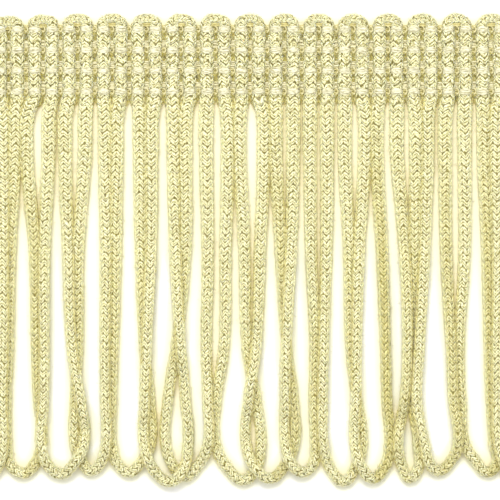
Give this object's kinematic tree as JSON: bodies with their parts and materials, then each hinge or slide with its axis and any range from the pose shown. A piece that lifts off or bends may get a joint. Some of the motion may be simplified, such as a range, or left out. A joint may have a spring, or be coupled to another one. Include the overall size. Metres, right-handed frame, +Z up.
{
  "type": "looped fringe trim",
  "caption": "Looped fringe trim: a knitted cord in long loops hangs from a narrow heading, locked by rows of chain stitch, with small loops along its top.",
  "frame": {"origin": "bottom centre of the whole trim, which lies flat with its face up", "axes": "+X along the trim, +Y from the hanging loops to the heading's top, +Z up, out of the face"},
  "size_m": [0.1294, 0.1037, 0.0044],
  "materials": {
    "cord_yarn": "knitted, with a soft sheen",
    "chain_thread": "smooth lustrous thread"
  },
  "bodies": {
    "root": {"fringe": "cord_yarn", "chain_row_1": "chain_thread", "chain_row_2": "chain_thread", "chain_row_3": "chain_thread", "chain_row_4": "chain_thread"}
  },
  "joints": []
}
